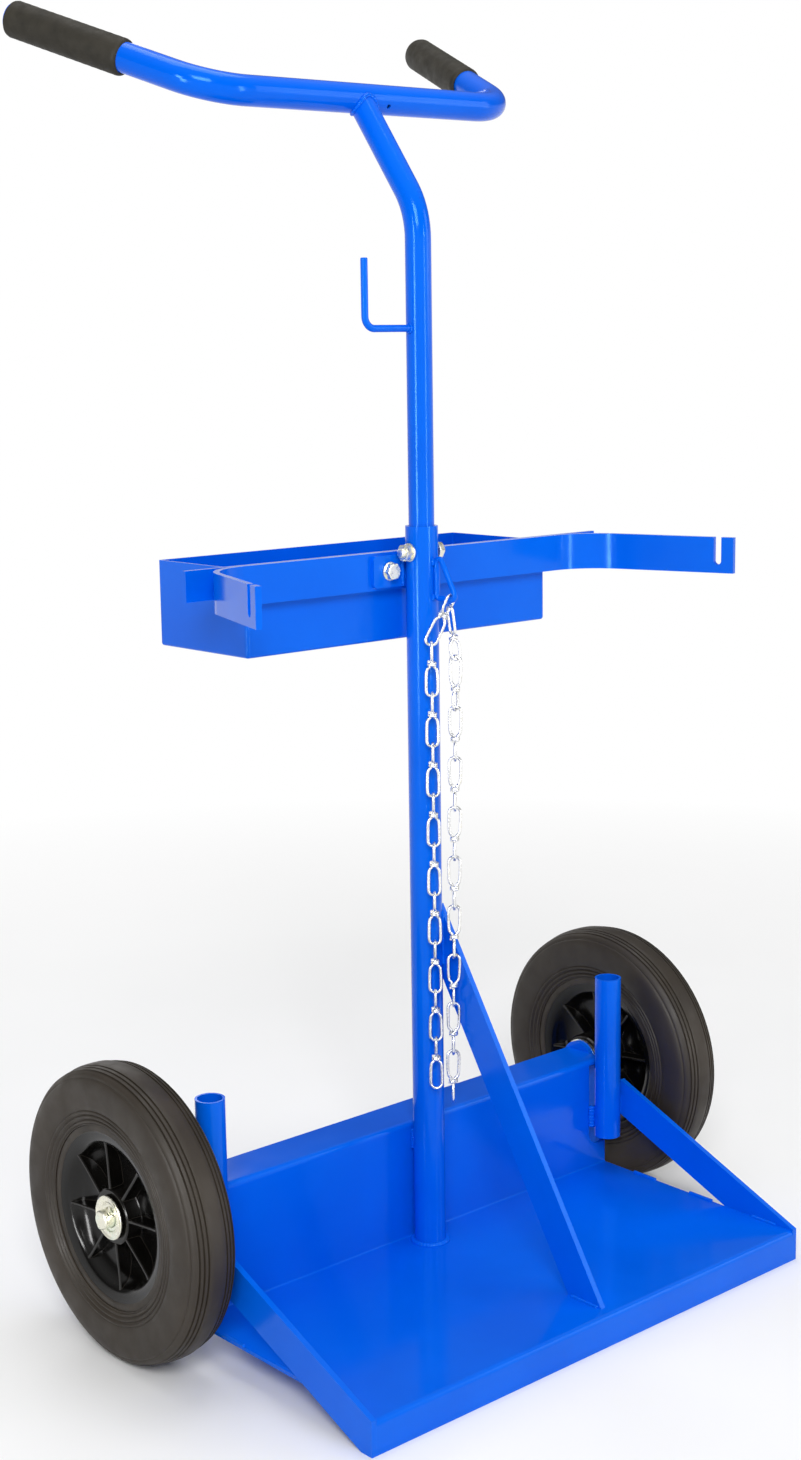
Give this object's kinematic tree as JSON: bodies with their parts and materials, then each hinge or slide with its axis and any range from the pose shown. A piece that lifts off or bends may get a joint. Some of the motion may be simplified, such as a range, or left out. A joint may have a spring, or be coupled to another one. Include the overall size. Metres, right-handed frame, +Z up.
{
  "type": "oxy acetylene torch cart",
  "caption": "Two-wheeled upright cart for two gas cylinders: toe plate, mast with handlebar, retaining arm with chain, tool tray, hose hook and filler rod tubes.",
  "frame": {"origin": "on the floor, at the centre of the overall footprint", "axes": "+Z up; the toe plate and lip face -Y, the grips point to +Y; +X along the axle to the right of someone standing behind the grips looking at the toe plate is -X"},
  "size_m": [0.634, 0.4707, 1.1155],
  "materials": {
    "frame_paint": "glossy blue powder coat",
    "zinc_fasteners": "yellowish zinc plate",
    "chain_zinc": "bright zinc plate",
    "grip_rubber": "satin moulded rubber",
    "tyre_rubber": "satin, ribbed",
    "rim_plastic": "gloss black moulding",
    "bush_plastic": "natural nylon"
  },
  "bodies": {
    "frame": {"base_plate": "frame_paint", "left_stay": "frame_paint", "right_stay": "frame_paint", "centre_brace": "frame_paint", "mast_tube": "frame_paint", "handle_stem": "frame_paint", "handlebar": "frame_paint", "left_rod_tube": "frame_paint", "right_rod_tube": "frame_paint", "left_axle_bracket": "frame_paint", "right_axle_bracket": "frame_paint", "hose_hook": "frame_paint", "retaining_arm": "frame_paint", "hanger_bar": "frame_paint", "tool_tray": "frame_paint", "mast_tab": "frame_paint", "frame_welds": "frame_paint", "left_grip": "grip_rubber", "right_grip": "grip_rubber", "tab_bolt": "zinc_fasteners", "tab_nut": "zinc_fasteners", "tab_washers": "zinc_fasteners", "mast_bolt": "zinc_fasteners", "mast_nut": "zinc_fasteners", "mast_washers": "zinc_fasteners", "axle": "zinc_fasteners", "left_inner_washer": "zinc_fasteners", "right_inner_washer": "zinc_fasteners", "left_outer_washer": "zinc_fasteners", "right_outer_washer": "zinc_fasteners", "left_split_pin": "zinc_fasteners", "right_split_pin": "zinc_fasteners", "chain_eye": "frame_paint"},
    "left_wheel": {"left_rim": "rim_plastic", "left_tyre": "tyre_rubber", "left_wheel_bush": "bush_plastic"},
    "right_wheel": {"right_rim": "rim_plastic", "right_tyre": "tyre_rubber", "right_wheel_bush": "bush_plastic"},
    "chain_top": {"chain_top_link": "chain_zinc"},
    "chain_left_a": {"chain_left_upper": "chain_zinc"},
    "chain_left_b": {"chain_left_middle": "chain_zinc"},
    "chain_left_c": {"chain_left_lower": "chain_zinc"},
    "chain_right_a": {"chain_right_upper": "chain_zinc"},
    "chain_right_b": {"chain_right_middle": "chain_zinc"},
    "chain_right_c": {"chain_right_lower": "chain_zinc"}
  },
  "joints": [
    {"name": "left_wheel_spin", "type": "hinge", "parent": "frame", "child": "left_wheel", "pos_m": [-0.29, 0.0255, 0.125], "axis": [1, 0, 0], "continuous": true},
    {"name": "right_wheel_spin", "type": "hinge", "parent": "frame", "child": "right_wheel", "pos_m": [0.29, 0.0255, 0.125], "axis": [1, 0, 0], "continuous": true},
    {"name": "chain_top_swing", "type": "hinge", "parent": "frame", "child": "chain_top", "pos_m": [0.002, -0.0575, 0.611], "axis": [0, 1, 0], "range_deg": [0, 25]},
    {"name": "chain_left_swing", "type": "hinge", "parent": "chain_top", "child": "chain_left_a", "pos_m": [-0.01028, -0.04671, 0.57257], "axis": [-0.7513, 0.66, 0], "range_deg": [-0.4, 50]},
    {"name": "chain_left_bend", "type": "hinge", "parent": "chain_left_a", "child": "chain_left_b", "pos_m": [-0.01028, -0.04671, 0.44448], "axis": [0.66, 0.7513, 0], "range_deg": [0, 50]},
    {"name": "chain_left_end_swing", "type": "hinge", "parent": "chain_left_b", "child": "chain_left_c", "pos_m": [-0.01028, -0.04671, 0.31067], "axis": [-0.7513, 0.66, 0], "range_deg": [-0.4, 60]},
    {"name": "chain_right_swing", "type": "hinge", "parent": "chain_top", "child": "chain_right_a", "pos_m": [0.00171, -0.05617, 0.60642], "axis": [-0.9659, 0.2588, 0], "range_deg": [-0.4, 5]},
    {"name": "chain_right_bend", "type": "hinge", "parent": "chain_right_a", "child": "chain_right_b", "pos_m": [0.00422, -0.05911, 0.4758], "axis": [-0.7513, 0.66, 0], "range_deg": [-0.4, 50]},
    {"name": "chain_right_end_swing", "type": "hinge", "parent": "chain_right_b", "child": "chain_right_c", "pos_m": [0.00272, -0.05779, 0.34486], "axis": [-0.7513, 0.66, 0], "range_deg": [-0.4, 60]}
  ]
}
